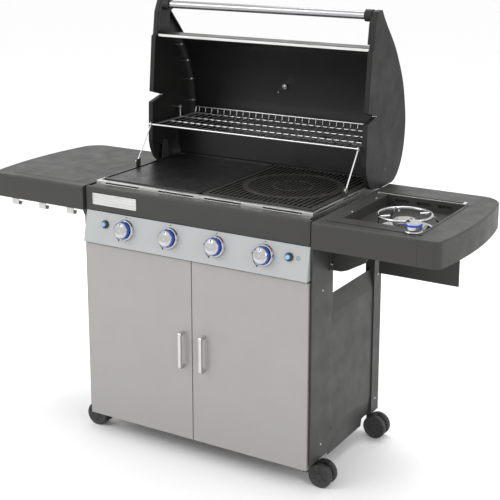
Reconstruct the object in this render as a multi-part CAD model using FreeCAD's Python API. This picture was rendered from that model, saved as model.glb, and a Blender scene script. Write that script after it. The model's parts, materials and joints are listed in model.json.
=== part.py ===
import FreeCAD, Part
import math
import os

# Gas barbecue on a four-caster cart: +X is the user's right, +Y points to the back, +Z is up, in mm.
# The model is drawn with Y = 0 on the front faces of the doors, and is moved by BODY_SHIFT when it
# is written, so that the origin lies on the floor under the middle of the whole object.

# Cart
DOOR_HALF = 404.0
DOOR_BOTTOM = 71.0
DOOR_TOP = 660.0
DOOR_DEPTH = 18.0
DOOR_GAP = 3.0
SHEET = 1.5
LEG_OUT = 412.0
LEG_BOTTOM = 84.0
LEG_TOP = 762.0
FRONT_LEG_Y = (8.0, 140.0)
REAR_LEG_Y = (435.0, 487.0)
SIDE_RAIL_X = (384.0, 401.0)
BASE_TOP = 96.0
BASE_FLANGE = 12.0

# Deck: firebox, trim and cooking surfaces
BOX_HALF = 385.0
BOX_Y = (52.0, 516.0)
BOX_TOP = 850.0
BOX_SHOULDER = 772.0
BOX_SLOT_Z = 702.0
BOX_SLOT_HALF = 55.0
TRIM_HALF = 391.0
TRIM_Y = (46.0, 500.0)
TRIM_Z = (832.0, 857.0)
COOK_TOP = 862.0
COOK_Y = (64.0, 512.0)
SHIELD_Y = 521.0
SHIELD_TOP = 955.0

# Front: fascia and sloped control panel
FASCIA_Y = 7.0
FASCIA_Z = (770.0, 844.0)
PANEL_LOW = (-12.0, 666.0)
PANEL_HIGH = (9.0, 767.0)
KNOB_PITCH = 168.0
KNOB_MIDDLE = 4.5
KNOB_Z = 722.0
BUTTON_X = (-325.0, 340.0)
BUTTON_Z = 730.0

# Shelves
SHELF_IN = 411.5
SHELF_SEAM = 733.0
SHELF_TOP = 844.0
SHELF_BOTTOM = 766.0
SHELF_FRONT = -2.0
SHELF_REAR = 536.0
SHELF_REACH = 817.0
SHELF_WALL = 2.5

# Side burner, in a recess of the right shelf
RECESS_X = (466.0, 722.0)
RECESS_Y = (84.0, 398.0)
RECESS_FLOOR = 812.0
RING_CENTRE = (620.0, 175.0)
RING_R = 78.0
RING_Z = 855.0
SIDE_KNOB = (697.0, 56.0)
SLOT_X = (434.0, 712.0)
SLOT_Y = (403.0, 421.0)
BURNER_LID_X = (438.0, 703.0)
BURNER_LID_BOTTOM = 582.0

# Lid, drawn open: hinge axis along X, rack pivots of a parallelogram linkage
HINGE = (426.0, 912.0)
HINGE_PIN_R = 4.0
CAP_OUT = 409.0
CAP_IN = 393.0
BAR = (435.0, 1387.0)
BAR_R = 13.0
RACK_FRONT = (344.0, 989.0)
LEG_PIVOT = (262.0, 876.0)
RACK_REAR_PIVOT = (HINGE[0] + RACK_FRONT[0] - LEG_PIVOT[0], HINGE[1] + RACK_FRONT[1] - LEG_PIVOT[1])
WIRE_R = 3.0

# Casters: stem places, trail of the wheels behind the stem
CASTER_STEM = {"front_left": (-398.0, 72.0), "front_right": (398.0, 72.0),
               "rear_left": (-398.0, 458.0), "rear_right": (398.0, 458.0)}
CASTER_TRAIL = 25.0
WHEEL_R = 38.5
WHEEL_WIDTH = 18.0
WEB_HALF = 7.0
BRAKE_PIN_R = 2.0

# Running clearance on pins, and the gap between faces of different bodies
FIT = 0.06
GAP = 0.4

# How far the knobs reach in front of the doors, and the open lid behind them
FRONT_REACH = -34.0
BACK_REACH = 651.0
BODY_SHIFT = FreeCAD.Vector(0, -(FRONT_REACH + BACK_REACH) / 2, 0)

X = FreeCAD.Vector(1, 0, 0)
Y = FreeCAD.Vector(0, 1, 0)
Z = FreeCAD.Vector(0, 0, 1)


def point(x, y, z):
    return FreeCAD.Vector(x, y, z)


def box(x, y, z):
    """A block from its low and high values along each axis."""
    return Part.makeBox(x[1] - x[0], y[1] - y[0], z[1] - z[0], point(x[0], y[0], z[0]))


def rod(radius, start, end):
    """A round bar between two points."""
    run = end - start
    return Part.makeCylinder(radius, run.Length, start, run)


def washer(outer, inner, start, end):
    """A short tube between two points."""
    reach = (end - start).normalize()
    return rod(outer, start, end).cut(rod(inner, start - reach, end + reach))


def extruded(points, direction):
    """A prism over a closed outline of straight edges."""
    return Part.Face(Part.makePolygon(points + points[:1])).extrude(direction)


def prism_x(outline, x0, x1):
    return extruded([point(x0, y, z) for y, z in outline], X * (x1 - x0))


def prism_y(outline, y0, y1):
    return extruded([point(x, y0, z) for x, z in outline], Y * (y1 - y0))


def prism_z(outline, z0, z1):
    return extruded([point(x, y, z0) for x, y in outline], Z * (z1 - z0))


def fused(shapes):
    whole = shapes[0]
    for shape in shapes[1:]:
        whole = whole.fuse(shape)
    return whole.removeSplitter()


def group(shapes):
    """Separate solids kept in one sub-part."""
    return Part.makeCompound(shapes)


def mirrored(shape):
    return shape.mirror(point(0, 0, 0), X)


def both_sides(shape):
    return [shape, mirrored(shape)]


def offset_line(points, distance):
    """An open line of (a, b) points moved sideways, to the left of its run."""
    moved = []
    last = len(points) - 1
    for index, (a, b) in enumerate(points):
        before = points[max(index - 1, 0)]
        after = points[min(index + 1, last)]
        run = math.hypot(after[0] - before[0], after[1] - before[1])
        moved.append((a - (after[1] - before[1]) * distance / run, b + (after[0] - before[0]) * distance / run))
    return moved


def smooth_edge(points):
    curve = Part.BSplineCurve()
    curve.interpolate(points)
    return curve.toShape()


# ---------------------------------------------------------------- cart frame

def leg_profile(y, lip_in):
    """Open C section of a leg on the right side, with its web outside."""
    inner = LEG_OUT - 32
    return [(lip_in, y[0]), (LEG_OUT, y[0]), (LEG_OUT, y[1]), (inner, y[1]), (inner, y[1] - SHEET),
            (LEG_OUT - SHEET, y[1] - SHEET), (LEG_OUT - SHEET, y[0] + SHEET), (lip_in, y[0] + SHEET)]


def front_leg():
    """Web and rear flange, a narrow front lip beside the door, and the foot plate of the caster."""
    web = prism_z(leg_profile(FRONT_LEG_Y, LEG_OUT - 5), LEG_BOTTOM, LEG_TOP)
    stop = box((LEG_OUT - 32, LEG_OUT - SHEET), (22, 22 + SHEET), (LEG_BOTTOM, 664))
    return fused([web, stop, foot_plate("front_right", 24, 138)]).cut(rail_notch())


def rear_leg():
    profile = leg_profile(REAR_LEG_Y, LEG_OUT - 32)
    return fused([prism_z(profile, LEG_BOTTOM, LEG_TOP), foot_plate("rear_right", 437, 485)]).cut(rail_notch())


def foot_plate(caster, y0, y1):
    stem = CASTER_STEM[caster]
    plate = box((LEG_OUT - 32, LEG_OUT - SHEET), (y0, y1), (LEG_BOTTOM, LEG_BOTTOM + 8))
    return plate.cut(rod(5 + FIT, point(*stem, LEG_BOTTOM - 1), point(*stem, LEG_BOTTOM + 9)))


def side_panel():
    """Sheet between the legs, bent inwards along its top and bottom, notched over the rear caster."""
    outer = [(398, 58), (408, 147), (408, 519), (398, 582)]
    inner = [(x - SHEET, z) for x, z in reversed(outer)]
    panel = prism_y(outer + inner, FRONT_LEG_Y[1] + GAP + 9, REAR_LEG_Y[0] - GAP)
    front_tab = box((400, 408), (FRONT_LEG_Y[1], FRONT_LEG_Y[1] + GAP + 9), (160, 500))
    notch = box((380, 420), (386, 440), (50, LEG_BOTTOM))
    return fused([panel, front_tab.common(box((408 - SHEET, 408), (130, 160), (0, 600)))]).cut(notch)


def base_shelf():
    """Cabinet floor: a tray with turned-down edges between the legs."""
    half = LEG_OUT - 33
    top = box((-half, half), (24, 485), (BASE_TOP - SHEET, BASE_TOP))
    front = box((-half, half), (24, 24 + SHEET), (BASE_TOP - BASE_FLANGE, BASE_TOP))
    rear = box((-half, half), (485 - SHEET, 485), (BASE_TOP - BASE_FLANGE, BASE_TOP))
    ribs = [box((x, x + 30), (24, 485), (BASE_TOP - BASE_FLANGE, BASE_TOP - SHEET)) for x in (-150, 120)]
    return fused([top, front, rear] + ribs)


def rear_rail():
    """Channel between the rear legs, open to the front."""
    half = LEG_OUT - 33
    outside = box((-half, half), (470, 485), (600, 640))
    return outside.cut(box((-half - 1, half + 1), (469, 485 - SHEET), (600 + SHEET, 640 - SHEET)))


def front_rail():
    """Angle between the front legs, above and behind the doors."""
    half = LEG_OUT - 33
    upright = box((-half, half), (26, 26 + SHEET), (628, 652))
    return fused([upright, box((-half, half), (26, 44), (628, 628 + SHEET))])


def side_rail():
    """Square tube along the top of each side, which carries the firebox."""
    tube = box(SIDE_RAIL_X, (42, 484), (LEG_TOP - 20, LEG_TOP))
    hollow = box((SIDE_RAIL_X[0] + SHEET, SIDE_RAIL_X[1] - SHEET), (41, 485), (LEG_TOP - 18.5, LEG_TOP - SHEET))
    return tube.cut(hollow)


def rail_notch():
    """Cut-out in the flanges of the legs through which the side rail runs."""
    return box((SIDE_RAIL_X[0] - 8, SIDE_RAIL_X[1] + GAP), (100, 484), (LEG_TOP - 20 - GAP, LEG_TOP + 1))


# ---------------------------------------------------------------- doors

HINGE_X = 398.5
HINGE_Y = 4.5
DOOR_PIN_R = 2.5


def door(side):
    """Pan of sheet: face, four returns, and pin holes in the top and bottom returns."""
    inner = DOOR_GAP / 2
    outside = box((inner, DOOR_HALF), (0, DOOR_DEPTH), (DOOR_BOTTOM, DOOR_TOP))
    hollow = box((inner + SHEET, DOOR_HALF - SHEET), (SHEET, DOOR_DEPTH + 1),
                 (DOOR_BOTTOM + SHEET, DOOR_TOP - SHEET))
    stiffener = box((150, 250), (SHEET, 8), (DOOR_BOTTOM + SHEET, DOOR_TOP - SHEET))
    stiffener = stiffener.cut(box((151.2, 248.8), (0, 6.8), (0, DOOR_TOP)))
    pan = fused([outside.cut(hollow), stiffener])
    pan = pan.cut(rod(DOOR_PIN_R + FIT, point(HINGE_X, HINGE_Y, 0), point(HINGE_X, HINGE_Y, 800)))
    return pan if side > 0 else mirrored(pan)


def door_handle(x, low, high):
    """Flat D handle: a square bar with two feet on the door."""
    stand = 25.0
    outside = box((x - 5, x + 5), (-stand, 0), (low, high))
    opening = box((x - 6, x + 6), (-stand + 7, 1), (low + 9, high - 9))
    handle = outside.cut(opening)
    corners = [edge for edge in handle.Edges if abs(edge.Length - 10) < 0.01 and edge.CenterOfMass.y < -24]
    return handle.makeFillet(6, corners)


def door_hinges():
    """Bottom and top hinge plates with their pins, each with a tab against the front leg."""
    plan = [(392, 1.5), (406.6, 1.5), (406.6, 9.5), (LEG_OUT - SHEET, 9.5), (LEG_OUT - SHEET, 12), (392, 12)]
    tab_x = (406.6, LEG_OUT - SHEET)
    tab_y = (9.5, 12)
    low = DOOR_BOTTOM - 4
    low_pin = rod(DOOR_PIN_R, point(HINGE_X, HINGE_Y, low), point(HINGE_X, HINGE_Y, low + 9))
    bottom = fused([prism_z(plan, low, low + 2.5), box(tab_x, tab_y, (low, LEG_BOTTOM + 20)), low_pin])
    high = DOOR_TOP + 4
    high_pin = rod(DOOR_PIN_R, point(HINGE_X, HINGE_Y, high - 8), point(HINGE_X, HINGE_Y, high))
    top = fused([prism_z(plan, high - 2.5, high), box(tab_x, tab_y, (high - 35, high)), high_pin])
    return group(both_sides(bottom) + both_sides(top))


# ---------------------------------------------------------------- front

def panel_frame(x, z):
    """Point on the sloped panel at a height, and its outward normal."""
    rise = PANEL_HIGH[1] - PANEL_LOW[1]
    run = PANEL_HIGH[0] - PANEL_LOW[0]
    length = math.hypot(rise, run)
    y = PANEL_LOW[0] + (z - PANEL_LOW[1]) * run / rise
    return point(x, y, z), point(0, -rise / length, run / length)


def knob_x(index):
    return KNOB_MIDDLE + KNOB_PITCH * (index - 1.5)


def control_panel():
    """Sloped sheet with end returns and holes for the valve stems and the igniters."""
    outline = [PANEL_LOW, PANEL_HIGH, (38, PANEL_HIGH[1]), (38, PANEL_HIGH[1] - SHEET),
               (PANEL_HIGH[0] + 1.2, PANEL_HIGH[1] - SHEET), (PANEL_LOW[0] + 1.9, PANEL_LOW[1] + SHEET),
               (14, PANEL_LOW[1] + SHEET), (14, PANEL_LOW[1])]
    sheet = prism_x(outline, -DOOR_HALF, DOOR_HALF)
    end_outline = [PANEL_LOW, PANEL_HIGH, (38, PANEL_HIGH[1]), (14, PANEL_LOW[1])]
    end = prism_x(end_outline, DOOR_HALF - SHEET, DOOR_HALF)
    panel = fused([sheet] + both_sides(end))
    for index in range(4):
        centre, out = panel_frame(knob_x(index), KNOB_Z)
        panel = panel.cut(rod(7, centre - out * 6, centre + out * 6))
    for x in BUTTON_X:
        centre, out = panel_frame(x, BUTTON_Z)
        panel = panel.cut(rod(9, centre - out * 6, centre + out * 6))
    return panel


def turned(profile, centre, axis):
    """A solid of revolution from (radius, height) points, standing on centre along axis."""
    outline = [point(radius, 0, height) for radius, height in profile]
    solid = Part.Face(Part.makePolygon(outline + outline[:1])).revolve(point(0, 0, 0), Z, 360)
    solid.Placement = FreeCAD.Placement(centre, FreeCAD.Rotation(Z, axis))
    return solid


BEZEL = [(7.5, 0), (34, 0), (34, 3), (31.5, 8), (29, 9.5), (27.5, 9), (27, 3), (7.5, 3)]
STEM_R = 4.0
KNOB_FACE = [(25.5, 24), (24.5, 27), (21, 30), (12, 31.6), (0, 32)]
KNOB = [(0, -34), (STEM_R, -34), (STEM_R, 8.2), (25.5, 8.2)] + KNOB_FACE
SIDE_KNOB_PROFILE = [(0, -28), (STEM_R, -28), (STEM_R, 8.2), (24, 8.2), (24, 26), (20, 30), (12, 31.6), (0, 32)]


def igniter_bases():
    base = [(7.2, -6), (8.8, -6), (8.8, 0), (13, 0), (13, 4), (11, 8), (8.5, 9), (7.2, 9)]
    return group([turned(base, *panel_frame(x, BUTTON_Z)) for x in BUTTON_X])


def igniter_button(x):
    return turned([(0, -5), (7, -5), (7, 13), (5.5, 15), (0, 15.6)], *panel_frame(x, BUTTON_Z))


def gas_valves():
    """Brass valve bodies behind the panel, bored for the stems, each with its jet towards a burner."""
    valves = []
    for index in range(4):
        x = knob_x(index)
        centre, out = panel_frame(x, KNOB_Z)
        body = rod(11, centre - out * 42, centre - out * 12)
        bore = rod(STEM_R + FIT, centre - out * 39.5, centre)
        jet = rod(4, centre - out * 40, centre - out * 43)
        valves.append(fused([body, jet]).cut(bore))
    return valves


MANIFOLD_Y = 30.0
MANIFOLD_Z = 694.0
MANIFOLD_R = 8.0
INLET_R = 6.0
INLET_LENGTH = 26.0
INLET_X = 338.0
INLET_COLLAR = 12.0


def gas_manifold():
    """Gas rail under the valves, with the inlet nozzle near its right end pointing to the open rear."""
    main = rod(MANIFOLD_R, point(-300, MANIFOLD_Y, MANIFOLD_Z), point(INLET_X + 14, MANIFOLD_Y, MANIFOLD_Z))
    seat_y = MANIFOLD_Y + INLET_COLLAR
    collar = rod(INLET_R + 1.5, point(INLET_X, MANIFOLD_Y, MANIFOLD_Z), point(INLET_X, seat_y, MANIFOLD_Z))
    nozzle = rod(INLET_R, point(INLET_X, seat_y - 1, MANIFOLD_Z), point(INLET_X, seat_y + INLET_LENGTH, MANIFOLD_Z))
    return fused([main, collar, nozzle])


def fascia():
    """Dark front beam of the deck, with a ledge that runs back to the trim."""
    outline = [(FASCIA_Y, FASCIA_Z[0]), (FASCIA_Y, FASCIA_Z[1] - 4), (FASCIA_Y + 4, FASCIA_Z[1]),
               (TRIM_Y[0] - 1, FASCIA_Z[1] + 2), (TRIM_Y[0] - 1, FASCIA_Z[1] - 0.5),
               (FASCIA_Y + 4.6, FASCIA_Z[1] - 2.5), (FASCIA_Y + 2.5, FASCIA_Z[1] - 5),
               (FASCIA_Y + 2.5, FASCIA_Z[0] + 2.5), (38, FASCIA_Z[0] + 2.5), (38, FASCIA_Z[0])]
    beam = prism_x(outline, -DOOR_HALF, DOOR_HALF)
    end = prism_x(outline[:5] + [(38, FASCIA_Z[0] + 60), (38, FASCIA_Z[0])], DOOR_HALF - 2.5, DOOR_HALF)
    clear_of_lid = box((CAP_IN - 1.5, DOOR_HALF + 1), (20, 60), (FASCIA_Z[0] + 45, 900))
    return fused([beam] + both_sides(end)).cut(group(both_sides(clear_of_lid)))


def badge():
    plate = box((-377, -207), (FASCIA_Y - 2, FASCIA_Y), (789, 826))
    corners = [edge for edge in plate.Edges if abs(edge.Length - 2) < 0.01]
    return plate.makeFillet(3, corners)


# ---------------------------------------------------------------- deck

def firebox_outline(inset):
    """Half outline of the firebox across X: side, sloped floor and edge of the grease slot."""
    half = BOX_HALF - inset
    drop = inset * 1.2
    return [(half, BOX_TOP), (half, BOX_SHOULDER + drop), (BOX_SLOT_HALF, BOX_SLOT_Z + drop)]


def firebox():
    """Open tub of sheet with a long slot above the drip tray, and holes for the burner tubes."""
    wall = 2.0
    right = firebox_outline(0)
    left = [(-x, z) for x, z in reversed(right)]
    outside = prism_y(right + left, BOX_Y[0], BOX_Y[1])
    right_in = firebox_outline(wall)
    left_in = [(-x, z) for x, z in reversed(right_in)]
    hollow = prism_y([(right_in[0][0], BOX_TOP + 1)] + right_in[1:] + left_in[:-1]
                     + [(left_in[-1][0], BOX_TOP + 1)], BOX_Y[0] + wall, BOX_Y[1] - wall)
    slot = box((-BOX_SLOT_HALF + 3, BOX_SLOT_HALF - 3), (BOX_Y[0] + 20, BOX_Y[1] - 20), (690, 715))
    tub = outside.cut(hollow).cut(slot)
    for index in range(4):
        x = knob_x(index)
        tub = tub.cut(rod(15, point(x, BOX_Y[0] - 1, BURNER_Z), point(x, BOX_Y[0] + 5, BURNER_Z)))
    return tub


BURNER_Z = 790.0
BURNER_R = 14.0


def main_burner(index):
    """Straight tube burner, blind at both ends, on a rear foot, with a pipe from its jet."""
    x = knob_x(index)
    tube = rod(BURNER_R, point(x, 49, BURNER_Z), point(x, 490, BURNER_Z))
    bore = rod(BURNER_R - 1.2, point(x, 52, BURNER_Z), point(x, 488, BURNER_Z))
    foot = box((x - 10, x + 10), (485, BOX_Y[1] - 2), (BURNER_Z - 3, BURNER_Z))
    pipe = rod(4, point(x, 47, 716), point(x, 47, BURNER_Z))
    return fused([tube.cut(bore), foot.cut(bore), pipe])


def flame_tamers():
    """Inverted V plates over the burners."""
    plates = []
    for index in range(4):
        x = knob_x(index)
        outline = [(x - 55, 812), (x, 838), (x + 55, 812), (x + 55, 810.5), (x, 836.5), (x - 55, 810.5)]
        plates.append(prism_y(outline, BOX_Y[0] + 2, BOX_Y[1] - 2))
    return group(plates)


def deck_trim():
    """Bright strip round the front and sides of the deck, with long slots in its face, in two halves."""
    outside = box((0.5, TRIM_HALF), TRIM_Y, TRIM_Z)
    inside = box((-1, TRIM_HALF - SHEET), (TRIM_Y[0] + SHEET, TRIM_Y[1] + 1), (TRIM_Z[0] - 1, TRIM_Z[1] - SHEET))
    top_opening = box((-1, BOX_HALF + 0.3), (TRIM_Y[0] + 14, TRIM_Y[1] + 1), (TRIM_Z[0], TRIM_Z[1] + 1))
    half = outside.cut(inside).cut(top_opening)
    slot_z = (TRIM_Z[1] - 8.5, TRIM_Z[1] - 4)
    front_slot = box((20, 150), (TRIM_Y[0] - 1, TRIM_Y[0] + 3), slot_z)
    half = half.cut(front_slot).cut(front_slot.translated(X * 205))
    side_slot = box((TRIM_HALF - 3, TRIM_HALF + 1), (80, 190), slot_z)
    half = half.cut(side_slot).cut(side_slot.translated(Y * 160))
    return group(both_sides(half))


def cook_lugs(x, side_x):
    """Lugs by which a cooking surface rests on the walls of the firebox."""
    z = (BOX_TOP, COOK_TOP - 7)
    side = [box(side_x, (y, y + 24), z) for y in (110, 420)]
    return side + [box((x, x + 30), y, z) for y in ((52.2, COOK_Y[0] + 3), (COOK_Y[1] - 3, 515.5))]


def griddle():
    """Smooth cast plate with a low rim and rounded corners."""
    x = (-BOX_HALF + 3, -2)
    plate = box(x, COOK_Y, (COOK_TOP - 8, COOK_TOP))
    uprights = [edge for edge in plate.Edges if abs(edge.Length - 8) < 0.01]
    plate = plate.makeFillet(22, uprights)
    dish = box((x[0] + 7, x[1] - 7), (COOK_Y[0] + 7, COOK_Y[1] - 7), (COOK_TOP - 2.5, COOK_TOP + 1))
    uprights = [edge for edge in dish.Edges if abs(edge.Length - 3.5) < 0.01]
    lugs = cook_lugs(x[1] - 90, (x[0] - 2.5, x[0] + 6))
    return fused([plate.cut(dish.makeFillet(16, uprights))] + lugs)


GRATE_MIDDLE = (193.5, 288.0)
GRATE_RING_R = 150.0


def grate_bars(x0, x1, y0, y1, pitch):
    count = int((x1 - x0) / pitch)
    start = (x0 + x1 - count * pitch) / 2
    return [box((start + i * pitch - 3, start + i * pitch + 3), (y0, y1), (COOK_TOP - 9, COOK_TOP))
            for i in range(count + 1)]


def cooking_grate():
    """Cast grate: frame, bars from front to back, and a round seat for the insert."""
    x = (2, BOX_HALF - 3)
    outside = box(x, COOK_Y, (COOK_TOP - 10, COOK_TOP))
    frame = outside.cut(box((x[0] + 9, x[1] - 9), (COOK_Y[0] + 9, COOK_Y[1] - 9), (COOK_TOP - 20, COOK_TOP + 1)))
    bars = grate_bars(x[0] + 9, x[1] - 9, COOK_Y[0] + 2, COOK_Y[1] - 2, 17.0)
    cross = [box((x[0] + 2, x[1] - 2), (y - 3, y + 3), (COOK_TOP - 10, COOK_TOP - 3)) for y in (110, 466)]
    middle = point(GRATE_MIDDLE[0], GRATE_MIDDLE[1], COOK_TOP - 30)
    well = rod(GRATE_RING_R, middle, middle + Z * 60)
    seat = washer(GRATE_RING_R + 9, GRATE_RING_R, middle + Z * 20, middle + Z * 30)
    lugs = cook_lugs(x[0] + 60, (x[1] - 6, x[1] + 2.5))
    whole = fused([frame] + bars + cross).cut(well)
    return fused([whole, seat] + lugs)


def grate_insert():
    """Round grate that lifts out of the middle of the cooking grate, on four toes of its seat."""
    middle = point(GRATE_MIDDLE[0], GRATE_MIDDLE[1], COOK_TOP - 9)
    rim = washer(GRATE_RING_R - 0.5, GRATE_RING_R - 10, middle, middle + Z * 9)
    inner = washer(GRATE_RING_R - 85, GRATE_RING_R - 91, middle, middle + Z * 9)
    bars = grate_bars(middle.x - 140, middle.x + 140, middle.y - 148, middle.y + 148, 14.0)
    disc = rod(GRATE_RING_R - 5, middle - Z, middle + Z * 20)
    bars = [bar.common(disc) for bar in bars]
    cross = box((middle.x - 143, middle.x + 143), (middle.y - 3, middle.y + 3), (COOK_TOP - 9, COOK_TOP - 3))
    return fused([rim, inner, cross] + bars)


def back_shield():
    """Upright sheet behind the cooking surfaces, with a turned top edge."""
    half = TRIM_HALF - 2
    sheet = box((-half, half), (SHIELD_Y, SHIELD_Y + SHEET), (BOX_TOP - 40, SHIELD_TOP))
    edge = box((-half, half), (SHIELD_Y, SHIELD_Y + 9), (SHIELD_TOP - SHEET, SHIELD_TOP))
    seat = box((-half + 12, half - 12), (BOX_Y[1], SHIELD_Y), (BOX_TOP - 38, BOX_TOP - 12))
    return fused([sheet, edge, seat])


def drip_tray():
    """Long tray under the slot of the firebox, with a pull lip at its rear."""
    outside = box((-78, 78), (66, 500), (648, 682))
    tray = outside.cut(box((-76.5, 76.5), (67.5, 498.5), (649.5, 690)))
    rims = [box((76, 88), (66, 500), (680.5, 682)), box((-88, -76), (66, 500), (680.5, 682))]
    pull = box((-40, 40), (500, 516), (680.5, 682))
    return fused([tray] + rims + [pull])


def tray_runner():
    """Angle under the firebox on which a rim of the drip tray slides."""
    outline = [(98.5, 676.5), (98.5, 709.8), (97, 709.5), (97, 678), (80, 678), (80, 676.5)]
    return prism_y(outline, 70, 496)


# ---------------------------------------------------------------- shelves

def shelf_solid(inset, low, high):
    """Plan of the right shelf, extruded: straight front and rear, convex outer end, round corners."""
    inner = SHELF_IN + inset
    front = SHELF_FRONT + inset
    rear = SHELF_REAR - inset
    reach = SHELF_REACH - inset
    near = point(reach - 17, front + 24, low)
    far = point(reach - 22, rear - 62, low)
    start = point(reach - 38, front, low)
    finish = point(reach - 86, rear, low)
    edges = [Part.LineSegment(point(inner, front, low), start).toShape(),
             Part.Arc(start, point(reach - 24, front + 7, low), near).toShape(),
             Part.Arc(near, point(reach, 285, low), far).toShape(),
             Part.Arc(far, point(reach - 44, rear - 20, low), finish).toShape(),
             Part.LineSegment(finish, point(inner, rear, low)).toShape(),
             Part.LineSegment(point(inner, rear, low), point(inner, front, low)).toShape()]
    return Part.Face(Part.Wire(edges)).extrude(Z * (high - low))


def shelf_shell():
    """Whole shelf moulding, open underneath, with a rounded top edge and a groove along its front."""
    body = shelf_solid(0, SHELF_BOTTOM, SHELF_TOP)
    rim = [edge for edge in body.Edges if abs(edge.CenterOfMass.z - SHELF_TOP) < 0.01
           and edge.CenterOfMass.x > SHELF_IN + 1]
    body = body.makeFillet(6, rim)
    hollow = shelf_solid(SHELF_WALL, SHELF_BOTTOM - 1, SHELF_TOP - SHELF_WALL)
    groove = box((SHELF_IN - 1, SHELF_SEAM + 1), (36, 39), (SHELF_TOP - 1, SHELF_TOP + 1))
    return body.cut(hollow).cut(groove)


def shelf_ribs(top):
    """Cross ribs that stand on the two arms under the shelf."""
    x = (SHELF_IN + SHELF_WALL, ARM_REACH)
    return [box(x, (y, y + 3), (SHELF_BOTTOM, top)) for y in ARM_Y]


def left_shelf():
    slab = shelf_shell().common(box((SHELF_IN - 5, SHELF_SEAM), (-60, 600), (700, 900)))
    return mirrored(fused([slab] + shelf_ribs(SHELF_TOP - SHELF_WALL)))


def right_shelf():
    """As the left one, with openings for the burner tray and for the stowed burner lid."""
    slab = shelf_shell().common(box((SHELF_IN - 5, SHELF_SEAM), (-60, 600), (700, 900)))
    well = box((RECESS_X[0] - 1, RECESS_X[1] + 1), (RECESS_Y[0] - 1, RECESS_Y[1] + 1), (SHELF_TOP - 5, SHELF_TOP + 1))
    slot = box(SLOT_X, SLOT_Y, (SHELF_TOP - 5, SHELF_TOP + 1))
    stem = rod(7, point(*SIDE_KNOB, SHELF_TOP - 9), point(*SIDE_KNOB, SHELF_TOP + 1))
    return fused([slab] + shelf_ribs(RECESS_FLOOR - 40)).cut(group([well, slot, stem]))


def shelf_end():
    """Separate end moulding, closed by a wall along the seam."""
    shell = shelf_shell().common(box((SHELF_SEAM + GAP, 900), (-60, 600), (700, 900)))
    wall = shelf_solid(0, SHELF_BOTTOM, SHELF_TOP - 1)
    wall = wall.common(box((SHELF_SEAM + GAP, SHELF_SEAM + GAP + 2), (-60, 600), (700, 900)))
    return fused([shell, wall])


ARM_Y = (136.0, 446.0)
ARM_REACH = 534.0


def shelf_bracket():
    """Gusset arms under a shelf, bolted to the outer faces of the front and rear legs."""
    outline = [(LEG_OUT, 664), (440, 664), (461, 671), (520, 704), (ARM_REACH, SHELF_BOTTOM - 28),
               (ARM_REACH, SHELF_BOTTOM), (LEG_OUT, SHELF_BOTTOM)]
    arms = []
    for y in ARM_Y:
        gusset = prism_y(outline, y, y + 3)
        foot = box((LEG_OUT, LEG_OUT + 3), (y - 22, y), (668, 752))
        arms.append(fused([gusset, foot]))
    return group(arms)


def tool_hooks():
    """Three J hooks clipped behind the front wall of the left shelf."""
    inside = SHELF_FRONT + SHELF_WALL
    outline = [(inside, 800), (inside, 746), (14, 742), (20, 752), (18, 754), (13, 745), (inside + 2.4, 748.5),
               (inside + 2.4, 800)]
    return group([prism_x(outline, x - 14, x + 14) for x in (-699, -584, -468)])


# ---------------------------------------------------------------- side burner

def burner_tray():
    """Steel pan in the shelf: ledges at the left and the front, a deep well, and slots in its rear wall."""
    outside = box(RECESS_X, RECESS_Y, (RECESS_FLOOR - SHEET, SHELF_TOP + SHEET))
    hollow = box((RECESS_X[0] + SHEET, RECESS_X[1] - SHEET), (RECESS_Y[0] + SHEET, RECESS_Y[1] - SHEET),
                 (RECESS_FLOOR, SHELF_TOP + 5))
    ledge = box((RECESS_X[0] - 26, RECESS_X[1] + 5), (RECESS_Y[0] - 46, RECESS_Y[1] + 4), (SHELF_TOP, SHELF_TOP + SHEET))
    floor_hole = rod(82, point(*RING_CENTRE, 700), point(*RING_CENTRE, RECESS_FLOOR + 1))
    tray = fused([outside, ledge]).cut(hollow).cut(floor_hole)
    for x in (515, 585, 655):
        slot = box((x - 18, x + 18), (RECESS_Y[1] - 5, RECESS_Y[1] + 2), (824, 834))
        ends = [rod(5, point(x + side * 18, RECESS_Y[1] - 5, 829), point(x + side * 18, RECESS_Y[1] + 2, 829))
                for side in (-1, 1)]
        tray = tray.cut(fused([slot] + ends))
    return tray.cut(rod(7, point(*SIDE_KNOB, SHELF_TOP - 1), point(*SIDE_KNOB, SHELF_TOP + 9)))


def burner_bowl():
    """Polished dish under the hole of the tray, with a rim that lies on the tray floor."""
    floor = RECESS_FLOOR
    profile = [(88, floor), (88, floor + 2.5), (78, floor + 2.5), (60, 790), (24, 788), (24, 786.5), (61, 788.5),
               (80, floor)]
    return turned(profile, point(*RING_CENTRE, 0), Z)


def side_burner():
    """Cast burner head with its cap, and a tail to the jet below the bowl."""
    centre = point(*RING_CENTRE, 0)
    head = turned([(0, 776), (22, 776), (22, 822), (34, 826), (34, 832), (36, 832), (36, 838), (30, 842), (0, 842)],
                  centre, Z)
    tail = rod(7, point(RING_CENTRE[0] + 6, RING_CENTRE[1], 765), point(690, RING_CENTRE[1], 765))
    neck = rod(14, point(*RING_CENTRE, 755), point(*RING_CENTRE, 778))
    return fused([head, neck, tail])


def pan_support():
    """Chrome ring on four bent legs that stand on the tray floor."""
    centre = point(*RING_CENTRE, RING_Z)
    ring = Part.makeTorus(RING_R, 4, centre, Z)
    legs = []
    for quarter in range(4):
        angle = math.radians(45 + 90 * quarter)
        out = point(math.cos(angle), math.sin(angle), 0)
        reach = 112 if out.y > 0 else 104
        foot = centre + out * reach
        foot.z = RECESS_FLOOR + 2.6
        if out.y < 0:
            foot = centre + out * RING_R
            foot.z = RECESS_FLOOR + 2.6
        legs.append(rod(3, centre + out * RING_R, foot))
        legs.append(rod(3, centre + out * RING_R, centre + out * 46))
    return fused([ring] + legs)


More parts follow.
